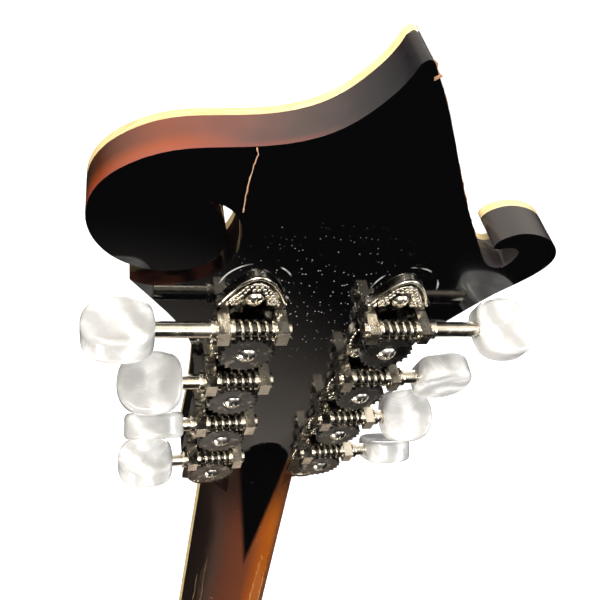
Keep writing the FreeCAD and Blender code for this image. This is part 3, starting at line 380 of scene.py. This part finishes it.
def pearloid():
    """Swirled pearl plastic: soft white bands and grey veils under a clear surface."""
    p = Paint("pearl_button", Subsurface_Weight=0.15, Subsurface_Scale=0.002, Coat_Weight=0.7,
              Coat_Roughness=0.06, Roughness=0.22)
    p.bsdf.inputs["Subsurface Radius"].default_value = (1.0, 0.9, 0.8)
    swirl = p.noise(85, 3, p.stretched(1.0, 1.0, 1.6), distortion=2.4)
    bands = p.add("ShaderNodeTexWave", wave_type="BANDS", bands_direction="DIAGONAL")
    p.feed(bands.inputs["Vector"], p.coords)
    bands.inputs["Scale"].default_value = 55
    bands.inputs["Distortion"].default_value = 9
    bands.inputs["Detail"].default_value = 3
    veil = p.calc("MULTIPLY", swirl, bands.outputs["Fac"])
    p.colour(p.ramp(veil, (0.05, rgb(0.44, 0.435, 0.42)), (0.3, rgb(0.57, 0.565, 0.55)),
                    (0.6, rgb(0.78, 0.775, 0.755))))
    p.rough(p.span(swirl, 0.3, 0.7, 0.16, 0.30))
    p.bump(swirl, 0.05, 0.0003)
    return p.material


def wood(name, dark, light, roughness, scale=1.0):
    """Straight-grained wood along the neck's direction."""
    p = Paint(name)
    grain = p.noise(220 * scale, 8, p.stretched(1.0, 1.0, 0.05), distortion=0.4)
    pores = p.cells(900 * scale, p.stretched(1.0, 1.0, 0.06))
    base = p.ramp(grain, (0.3, dark), (0.7, light))
    p.colour(p.mix(p.calc("MULTIPLY", p.span(pores, 0.2, 0.05), 0.5), base, dark))
    p.rough(p.span(grain, 0.3, 0.7, roughness, roughness + 0.12))
    p.bump(p.calc("SUBTRACT", grain, pores), 0.15, 0.0002)
    return p.material


def sunburst(name, inner, middle, outer, centre, reach, flame):
    """Lacquered sunburst over figured wood: light in the middle and dark towards the rim."""
    p = Paint(name, Coat_Weight=0.6, Coat_Roughness=0.04)
    x = p.dot(p.coords, (1 / reach[0], 0, 0))
    z = p.calc("SUBTRACT", p.dot(p.coords, (0, 0, 1 / reach[1])), centre / reach[1])
    wide = p.calc("POWER", p.calc("ABSOLUTE", x), 2.2)
    radius = p.calc("SQRT", p.calc("ADD", wide, p.calc("MULTIPLY", z, z)))
    radius = p.calc("ADD", radius, p.span(p.noise(12, 3), 0.3, 0.7, -0.05, 0.05))
    base = p.ramp(p.span(radius, 0.15, 1.15, smooth=False), (0.0, inner), (0.45, middle), (0.85, outer))
    grain = p.noise(160, 8, p.stretched(1.0, 1.0, 0.04), distortion=0.3)
    curl = p.noise(60, 3, p.stretched(0.12, 1.0, 2.2), distortion=0.8)
    base = p.mix(p.calc("MULTIPLY", p.span(grain, 0.4, 0.7), 0.35), base, outer)
    base = p.mix(p.calc("MULTIPLY", p.span(curl, 0.45, 0.65), flame), base, inner)
    p.colour(base)
    p.rough(p.span(p.noise(14, 4), 0.35, 0.7, 0.07, 0.18))
    p.bump(grain, 0.04, 0.0003)
    return p.material


def bone():
    p = Paint("bone", Roughness=0.35)
    p.colour(p.ramp(p.noise(180, 6), (0.3, rgb(0.62, 0.52, 0.36)), (0.7, rgb(0.85, 0.78, 0.62))))
    p.bump(p.noise(700, 3), 0.1, 0.0001)
    return p.material


def wound_wire():
    """Bronze windings round a core."""
    p = Paint("wound_string", Metallic=1.0)
    wave = p.add("ShaderNodeTexWave", wave_type="BANDS", bands_direction="Z")
    p.feed(wave.inputs["Vector"], p.coords)
    wave.inputs["Scale"].default_value = 900
    p.colour(p.mix(p.noise(120, 4), rgb(0.55, 0.38, 0.2), rgb(0.3, 0.2, 0.11)))
    p.rough(p.span(p.noise(200, 3), 0.3, 0.7, 0.2, 0.36))
    p.bump(wave.outputs["Fac"], 0.5, 0.0002)
    return p.material


def bare_wood():
    """Raw wood where the lacquer has chipped."""
    p = Paint("bare_wood", Roughness=0.7)
    fibre = p.noise(500, 6, p.stretched(1.0, 1.0, 0.15))
    p.colour(p.ramp(fibre, (0.3, rgb(0.16, 0.07, 0.03)), (0.52, rgb(0.42, 0.22, 0.11)),
                    (0.75, rgb(0.66, 0.48, 0.32))))
    p.bump(fibre, 0.5, 0.0003)
    return p.material


SLOT_MAKERS = {
    "neck_finish": headstock_lacquer,
    "black_veneer": lambda: gloss_black("black_veneer"),
    "black_plastic": lambda: gloss_black("black_plastic"),
    "cream_binding": ivoroid,
    "nickel": lambda: nickel("nickel_plate"),
    # Worms and strips get painted darkness: shade at the thread roots, a dark reflection in the strips' flat
    # field.
    "worm": lambda: nickel("worm_nickel", painted_dark=painted_worm_shade),
    "strip": lambda: nickel("strip_nickel", painted_dark=painted_strip_reflection),
    "steel": lambda: nickel("plain_steel", warm=0.1, wear=0.25),
    "fret_wire": lambda: nickel("fret_wire", warm=0.2, wear=0.2),
    "plain_string": lambda: nickel("plain_string", warm=0.1, wear=0.2),
    "wound_string": wound_wire,
    "pearl": pearloid,
    "button_pearl": pearloid,
    "bone": bone,
    "spruce_finish": lambda: sunburst("spruce_sunburst", rgb(0.62, 0.26, 0.06), rgb(0.33, 0.07, 0.015),
                                      rgb(0.03, 0.010, 0.006), -0.385, (0.14, 0.16), 0.0),
    "maple_finish": lambda: sunburst("maple_sunburst", rgb(0.48, 0.17, 0.035), rgb(0.22, 0.05, 0.012),
                                     rgb(0.02, 0.008, 0.006), -0.385, (0.14, 0.16), 0.45),
    "plain_wood": lambda: wood("plain_wood", rgb(0.42, 0.27, 0.13), rgb(0.66, 0.48, 0.28), 0.5),
    "fingerboard_wood": lambda: wood("ebony", rgb(0.008, 0.006, 0.005), rgb(0.035, 0.022, 0.016), 0.3, 1.6),
    "brass": brass,
    "gear_brass": gear_metal,
}
MADE = {slot: maker() for slot, maker in SLOT_MAKERS.items()}
RAW = bare_wood()

BEVELS = {
    "neck": 0.9, "headstock_binding": 0.3, "tuner_plate_bass": 0.22, "tuner_plate_treble": 0.22,
    "ribs": 0.3, "nut": 0.3, "fingerboard_binding": 0.3, "bridge_base": 0.5, "bridge_saddle": 0.4,
    "tailpiece_cover": 0.4, "tailpiece_base": 0.2, "truss_rod_cover": 0.3, "end_pin": 0.3, "fingerboard": 0.2,
    "tailpiece_screws": 0.2, "post_ferrules": 0.2, "headstock_overlay": 0.2,
}
SMALL_METAL = ("worm", "string_post", "thumbwheel", "plate_screws")
SMALL_BEVEL = 0.12
WELD_REACH = 0.002            # mm


def dress(obj, material, bevel):
    """Gives a CAD node its material, smooth faces and slightly rounded edges."""
    obj.data.materials.clear()
    obj.data.materials.append(material)
    for polygon in obj.data.polygons:
        polygon.use_smooth = True
    weld = obj.modifiers.new("weld", "WELD")
    weld.merge_threshold = WELD_REACH * MM
    if bevel:
        edges = obj.modifiers.new("edges", "BEVEL")
        edges.width = bevel * MM
        edges.segments = 3
        edges.limit_method = "ANGLE"
        edges.angle_limit = math.radians(40)
        edges.harden_normals = True
    normals = obj.modifiers.new("normals", "WEIGHTED_NORMAL")
    normals.keep_sharp = True
    for edge in obj.data.edges:
        edge.use_edge_sharp = False


for part in frame["record"]["subparts"]:
    name = part["node"]
    bevel = BEVELS.get(name, SMALL_BEVEL if name.startswith(SMALL_METAL) else 0)
    look = part["material_slot"]
    if name.startswith("tuner_plate"):
        look = "strip"
    elif name.startswith("worm"):
        look = "worm"
    dress(NODES[name], MADE[look], bevel)


# ---------------------------------------------------------------- ornament on the tuner strips
ARCH_TIP = FIRST_WORM + 13.6
ARCH_FOOT = FIRST_WORM + 4.2
ARCH_POWER = 1.9               # how square the arch's shoulders are
TOP_SCREW = FIRST_WORM + 5.9
SCREW_CLEARANCE = 3.1
BEAD_STEP = 1.22
BEAD_SIZES = (0.38, 0.54)
BEAD_JITTER = 0.1
STRIP_END = FIRST_WORM - 97.6


def piece(name, mesh, material):
    """A finished mesh as a piece that rides on the mandolin's own body."""
    obj = bpy.data.objects.new(name, mesh)
    bpy.context.scene.collection.objects.link(obj)
    mesh.materials.append(material)
    for polygon in mesh.polygons:
        polygon.use_smooth = True
    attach(obj, "mandolin")
    return obj


def bead(bm, place, radius, flatness=0.75):
    """A low round bead on the strip, at flat headstock coordinates."""
    squash = TO_HEAD @ Matrix.Diagonal((1, flatness, 1, 1))
    turn = Matrix.Translation(head(*place)) @ squash
    bmesh.ops.create_icosphere(bm, subdivisions=2, radius=radius * MM, matrix=turn)


def tube(bm, path, radius, sides=8):
    """A raised line along flat headstock points, thinner at both ends."""
    rings = []
    for i, point in enumerate(path):
        before = Vector(path[max(i - 1, 0)])
        after = Vector(path[min(i + 1, len(path) - 1)])
        along = (after - before).normalized()
        across = Vector((0, 1, 0)).cross(along).normalized()
        taper = 0.55 + 0.45 * math.sin(math.pi * i / (len(path) - 1))
        ring = []
        for k in range(sides):
            angle = 2 * math.pi * k / sides
            offset = across * math.cos(angle) + Vector((0, 0.8, 0)) * math.sin(angle)
            ring.append(bm.verts.new(head(*(Vector(point) + offset * radius * taper))))
        rings.append(ring)
    for a, b in zip(rings, rings[1:]):
        for k in range(sides):
            bm.faces.new((a[k], a[(k + 1) % sides], b[(k + 1) % sides], b[k]))
    bm.faces.new(rings[0])
    bm.faces.new(list(reversed(rings[-1])))


def curl(centre, start, turns, outer, hand, steps=22):
    """Points of a small spiral in the strip's plane."""
    points = []
    for i in range(steps):
        share = i / (steps - 1)
        angle = start + hand * turns * 2 * math.pi * share
        radius = outer * (1 - 0.8 * share)
        points.append((centre[0] + radius * math.cos(angle), PLATE_TOP, centre[1] + radius * math.sin(angle)))
    return points


def arch_path(middle, reach, tip, foot, steps=26):
    """The arch along the tip of a strip."""
    points = []
    for i in range(steps):
        share = -1 + 2 * i / (steps - 1)
        fall = abs(share) ** ARCH_POWER
        points.append((middle + reach * share, PLATE_TOP, tip - (tip - foot) * fall))
    return points


def arch_beads(bm, middle, screw, tip, foot, reach):
    """A field of granular beads between the arch and the screw."""
    row = 0
    z = foot
    while z < tip - 1.3:
        x = -reach + (row % 2) * BEAD_STEP / 2
        while x <= reach:
            limit = tip - (tip - foot) * abs(x / reach) ** ARCH_POWER - 1.35
            clear = math.hypot(x, z - screw) > SCREW_CLEARANCE
            if z < limit and clear:
                size = dice.uniform(*BEAD_SIZES)
                off_x = dice.uniform(-BEAD_JITTER, BEAD_JITTER)
                off_z = dice.uniform(-BEAD_JITTER, BEAD_JITTER)
                bead(bm, (middle + x + off_x, PLATE_TOP, z + off_z), size)
            x += BEAD_STEP
        z += BEAD_STEP * 0.87
        row += 1


def strip_ornament(side, sign):
    """Everything embossed on one strip: arch, beads, curls and clusters beside the gears."""
    bm = bmesh.new()
    middle = sign * ROW_OFFSET
    tube(bm, arch_path(middle, 7.9, ARCH_TIP, ARCH_FOOT), 0.55)
    tube(bm, arch_path(middle, 6.3, ARCH_TIP - 2.0, ARCH_FOOT + 0.6), 0.28)
    arch_beads(bm, middle, TOP_SCREW, ARCH_TIP - 0.2, ARCH_FOOT, 7.2)
    for unit in range(4):
        worm = FIRST_WORM - TUNER_PITCH * unit
        gear = worm - WORM_TO_POST
        for hand in (-1, 1):
            tube(bm, curl((middle + hand * 4.6, worm + 5.2), math.pi / 2, 1.25, 1.5, hand), 0.34)
            tube(bm, curl((middle + hand * 6.2, worm - 4.0), -math.pi / 2, 0.9, 1.1, -hand), 0.26)
            for k in range(6):
                x = middle + hand * (7.9 - 0.12 * (k - 2.5) ** 2)
                bead(bm, (x, PLATE_TOP, gear + 2.6 - 1.55 * k), 0.55 - 0.05 * abs(k - 2.5))
            bead(bm, (middle + hand * 6.6, PLATE_TOP, gear + 4.1), 0.45)
        if unit:
            for k in range(9):
                x = middle - 5.0 + 1.25 * k
                bead(bm, (x, PLATE_TOP, worm + 8.4 - 0.06 * (k - 4) ** 2), 0.42)
            tube(bm, arch_path(middle, 6.4, worm + 9.6, worm + 6.4), 0.33)
    angles = [math.pi + math.pi * k / 18 for k in range(19)]
    foot = [(middle + 5.4 * math.cos(a), PLATE_TOP, STRIP_END + 4.4 + 4.2 * math.sin(a)) for a in angles]
    tube(bm, foot, 0.45)
    mesh = bpy.data.meshes.new("strip_ornament_" + side)
    bm.to_mesh(mesh)
    bm.free()
    return piece("strip_ornament_" + side, mesh, MADE["nickel"])


for side, sign in SIDES.items():
    strip_ornament(side, sign)


# ---------------------------------------------------------------- wear
def ragged(points, width, spread):
    """Both edges of an uneven stroke along flat points, as (left, right) pairs."""
    pairs = []
    for i, (x, y, z) in enumerate(points):
        ahead = Vector(points[min(i + 1, len(points) - 1)])
        behind = Vector(points[max(i - 1, 0)])
        way = (ahead - behind).normalized()
        side = way.cross(Vector((0, 1, 0))) if abs(way.y) < 0.7 else Vector((1, 0, 0))
        half = side.normalized() * width * dice.uniform(1 - spread, 1 + spread) / 2
        pairs.append((Vector((x, y, z)) - half, Vector((x, y, z)) + half))
    return pairs


def subdivided(points, count):
    """More points along a line, each a little off it."""
    made = []
    for a, b in zip(points, points[1:]):
        for k in range(count):
            share = k / count
            wobble = dice.uniform(-0.08, 0.08)
            made.append(tuple(Vector(a).lerp(Vector(b), share) + Vector((wobble, 0, wobble * 0.5))))
    made.append(tuple(points[-1]))
    return made


def stroke(name, points, width, material, spread=0.5, count=4):
    """A thin flake of bare wood along a line on the lacquer."""
    bm = bmesh.new()
    pairs = ragged(subdivided(points, count), width, spread)
    rows = [[bm.verts.new(head(*p)) for p in pair] for pair in pairs]
    for a, b in zip(rows, rows[1:]):
        bm.faces.new((a[0], a[1], b[1], b[0]))
    mesh = bpy.data.meshes.new(name)
    bm.to_mesh(mesh)
    bm.free()
    obj = piece(name, mesh, material)
    thick = obj.modifiers.new("thickness", "SOLIDIFY")
    thick.thickness = 0.06 * MM
    thick.offset = 0
    return obj


ON_BACK = HEAD_BACK + 0.03
CRACK = [(25.8, 151.0), (25.2, 149.4), (25.6, 146.8), (25.8, 142.6), (25.8, 137.9), (25.6, 134.6)]
stroke("crack_on_the_back", [(x, ON_BACK, z) for x, z in CRACK], 0.22, RAW)
WALL_CRACK = [(25.75, 9.2, 150.95), (26.6, 6.0, 150.95), (27.3, 3.0, 150.85), (28.3, 0.2, 150.75)]
stroke("crack_on_the_wall", WALL_CRACK, 0.55, RAW, 0.6)
TIP_CHIP = [(0.2, 6.2, 171.6), (-0.6, 7.4, 171.75), (-1.2, 8.6, 171.3), (-1.8, 9.3, 170.6),
            (-3.2, 9.4, 168.8)]
stroke("chip_at_the_tip", TIP_CHIP, 1.1, RAW, 0.5)
EDGE_WEAR = [(-3.2, 169.2), (-7.1, 164.0), (-13.9, 153.5), (-20.0, 144.2), (-24.6, 137.1), (-30.0, 129.8)]
stroke("worn_edge", [(x + 0.05, HEAD_BACK - 0.5, z) for x, z in EDGE_WEAR], 0.32, RAW, 0.7, 8)


# ---------------------------------------------------------------- camera, light and floor
CAMERA_PLACE = (51.4, HEAD_BACK + 93.4, FIRST_WORM + 122.3)    # mm on the flat headstock
CAMERA_RIGHT = Vector((-0.95894, 0.16634, 0.22972))
CAMERA_UP = Vector((0.01189, -0.78567, 0.61853))
FOCAL_LENGTH = 39.0
SENSOR = 36.0


def place_camera():
    """The camera, square to the two directions given above."""
    right = (TO_HEAD @ CAMERA_RIGHT).normalized()
    up = TO_HEAD @ CAMERA_UP
    back = right.cross(up).normalized()
    up = back.cross(right)
    turn = Matrix((right, up, back)).transposed().to_4x4()
    data = bpy.data.cameras.new("camera")
    data.lens = FOCAL_LENGTH
    data.sensor_width = SENSOR
    data.clip_start = 0.005
    camera = bpy.data.objects.new("camera", data)
    camera.matrix_world = Matrix.Translation(head(*CAMERA_PLACE)) @ turn
    bpy.context.scene.collection.objects.link(camera)
    bpy.context.scene.camera = camera


place_camera()


def softbox(name, place, target, size, power, colour=(1, 1, 1)):
    """A rectangular area light that looks at a point."""
    data = bpy.data.lights.new(name, "AREA")
    data.shape = "RECTANGLE"
    data.size, data.size_y = size
    data.energy = power
    data.color = colour
    lamp = bpy.data.objects.new(name, data)
    lamp.location = place
    lamp.rotation_euler = (Vector(target) - Vector(place)).to_track_quat("-Z", "Y").to_euler()
    bpy.context.scene.collection.objects.link(lamp)
    return lamp


AIM = head(0, HEAD_BACK, 90)
softbox("key", AIM + Vector((0.35, 0.25, 0.75)), AIM, (0.30, 0.22), 8.0, (1.0, 0.96, 0.90))
softbox("fill", AIM + Vector((-0.7, 0.5, 0.3)), AIM, (0.4, 0.5), 4.0, (0.95, 0.97, 1.0))
softbox("strip", AIM + Vector((0.15, 0.75, 0.35)), AIM, (0.5, 0.10), 4.0, (1.0, 0.95, 0.88))
softbox("low", AIM + Vector((0.5, 0.45, -0.55)), AIM, (0.25, 0.25), 3.0, (1.0, 0.93, 0.84))
softbox("front", Vector((-0.5, -1.6, 0.6)), Vector((0, 0, -0.25)), (0.9, 0.9), 25.0)


def backdrop_light(tree, colour):
    node = tree.nodes.new("ShaderNodeBackground")
    node.inputs["Color"].default_value = colour
    return node


def height_share(tree, height, low, high):
    """0 to 1 as the direction's height goes from low to high."""
    node = tree.nodes.new("ShaderNodeMapRange")
    node.interpolation_type = "SMOOTHSTEP"
    node.inputs["From Min"].default_value = low
    node.inputs["From Max"].default_value = high
    tree.links.new(height, node.inputs["Value"])
    return node.outputs["Result"]


def blend(tree, share, first, second):
    node = tree.nodes.new("ShaderNodeMixShader")
    tree.links.new(share, node.inputs["Fac"])
    tree.links.new(first.outputs[0], node.inputs[1])
    tree.links.new(second.outputs[0], node.inputs[2])
    return node


def white_room():
    """White for the camera and soft on matt surfaces; reflections see a dark room, pale above and below."""
    world = bpy.data.worlds.new("room")
    bpy.context.scene.world = world
    world.use_nodes = True
    tree = world.node_tree
    tree.nodes.clear()
    rays = tree.nodes.new("ShaderNodeLightPath")
    direction = tree.nodes.new("ShaderNodeTexCoord")
    split = tree.nodes.new("ShaderNodeSeparateXYZ")
    tree.links.new(direction.outputs["Generated"], split.inputs[0])
    height = split.outputs["Z"]
    dark = backdrop_light(tree, (0.010, 0.009, 0.008, 1))
    ceiling = backdrop_light(tree, (1.25, 1.15, 1.0, 1))
    ground = backdrop_light(tree, (0.66, 0.58, 0.50, 1))
    room = blend(tree, height_share(tree, height, -0.1, 0.85), dark, ceiling)
    room = blend(tree, height_share(tree, height, -0.86, -0.98), room, ground)
    lit = blend(tree, rays.outputs["Is Glossy Ray"], backdrop_light(tree, (0.40, 0.40, 0.41, 1)), room)
    seen = blend(tree, rays.outputs["Is Camera Ray"], lit, backdrop_light(tree, (1, 1, 1, 1)))
    output = tree.nodes.new("ShaderNodeOutputWorld")
    tree.links.new(seen.outputs[0], output.inputs["Surface"])


white_room()
bpy.context.scene.view_settings.view_transform = "Standard"


FLOOR_HALF = 6.0
FLOOR_GAP = 0.002              # below the lowest point of the mandolin


def lay_floor():
    """A pale floor that is not seen in reflections."""
    low = CAD_BOX[0][2] - FLOOR_GAP
    mesh = bpy.data.meshes.new("floor")
    corners = [(-1, -1), (1, -1), (1, 1), (-1, 1)]
    mesh.from_pydata([(FLOOR_HALF * x, FLOOR_HALF * y, low) for x, y in corners], [], [(0, 1, 2, 3)])
    floor = bpy.data.objects.new("floor", mesh)
    bpy.context.scene.collection.objects.link(floor)
    p = Paint("floor_paint", Roughness=0.9, Emission_Strength=0.75)
    p.bsdf.inputs["Emission Color"].default_value = (1, 1, 1, 1)
    p.colour(p.mix(p.noise(3, 2), rgb(0.60, 0.60, 0.60), rgb(0.64, 0.64, 0.64)))
    mesh.materials.append(p.material)
    floor.visible_glossy = False


lay_floor()
